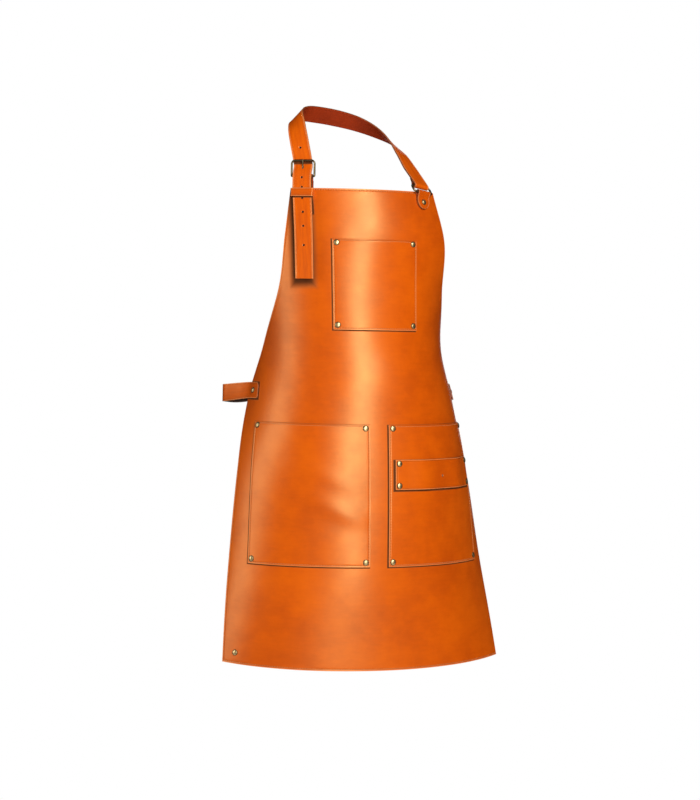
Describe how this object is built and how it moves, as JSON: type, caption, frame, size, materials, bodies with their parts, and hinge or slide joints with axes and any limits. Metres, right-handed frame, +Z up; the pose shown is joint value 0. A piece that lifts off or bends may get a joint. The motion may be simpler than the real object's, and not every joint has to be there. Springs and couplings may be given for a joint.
{
  "type": "leather work apron",
  "caption": "Leather bib apron in its worn form with a buckled neck strap, patch pockets, a tool strip, side loops and brass rivets.",
  "frame": {"origin": "the point of the neck strap's inner face, on the centre line, that rests on the back of the neck", "axes": "+Z up along the standing wearer, -Y the way the apron's front faces, +X towards the wearer's left"},
  "size_m": [0.4791, 0.2487, 0.9348],
  "materials": {
    "apron_leather": "smooth tan leather, satin, with softly mottled colour and lighter cut edges",
    "strap_leather": "smooth tan strap leather, satin, creased along its edges, with a darker raw back",
    "antique_brass": "antique brass, darkened in the hollows and bright where it is rubbed"
  },
  "bodies": {
    "root": {"apron_panel": "apron_leather", "bib_pocket": "apron_leather", "right_hip_pocket": "apron_leather", "left_hip_pocket": "apron_leather", "tool_strip": "apron_leather", "neck_strap": "strap_leather", "buckle_strap": "strap_leather", "strap_keeper": "strap_leather", "ring_tab": "strap_leather", "right_side_loop": "strap_leather", "left_side_loop": "strap_leather", "buckle_frame": "antique_brass", "buckle_prong": "antique_brass", "strap_ring": "antique_brass", "bib_pocket_rivet_1": "antique_brass", "bib_pocket_rivet_2": "antique_brass", "bib_pocket_rivet_3": "antique_brass", "bib_pocket_rivet_4": "antique_brass", "right_hip_pocket_rivet_1": "antique_brass", "right_hip_pocket_rivet_2": "antique_brass", "right_hip_pocket_rivet_3": "antique_brass", "right_hip_pocket_rivet_4": "antique_brass", "left_hip_pocket_rivet_1": "antique_brass", "left_hip_pocket_rivet_2": "antique_brass", "left_hip_pocket_rivet_3": "antique_brass", "left_hip_pocket_rivet_4": "antique_brass", "tool_strip_rivet_1": "antique_brass", "tool_strip_rivet_2": "antique_brass", "tool_strip_rivet_3": "antique_brass", "tool_strip_rivet_4": "antique_brass", "buckle_strap_rivet": "antique_brass", "ring_tab_rivet": "antique_brass", "right_side_loop_rivet": "antique_brass", "left_side_loop_rivet": "antique_brass", "right_hem_rivet": "antique_brass"}
  },
  "joints": []
}
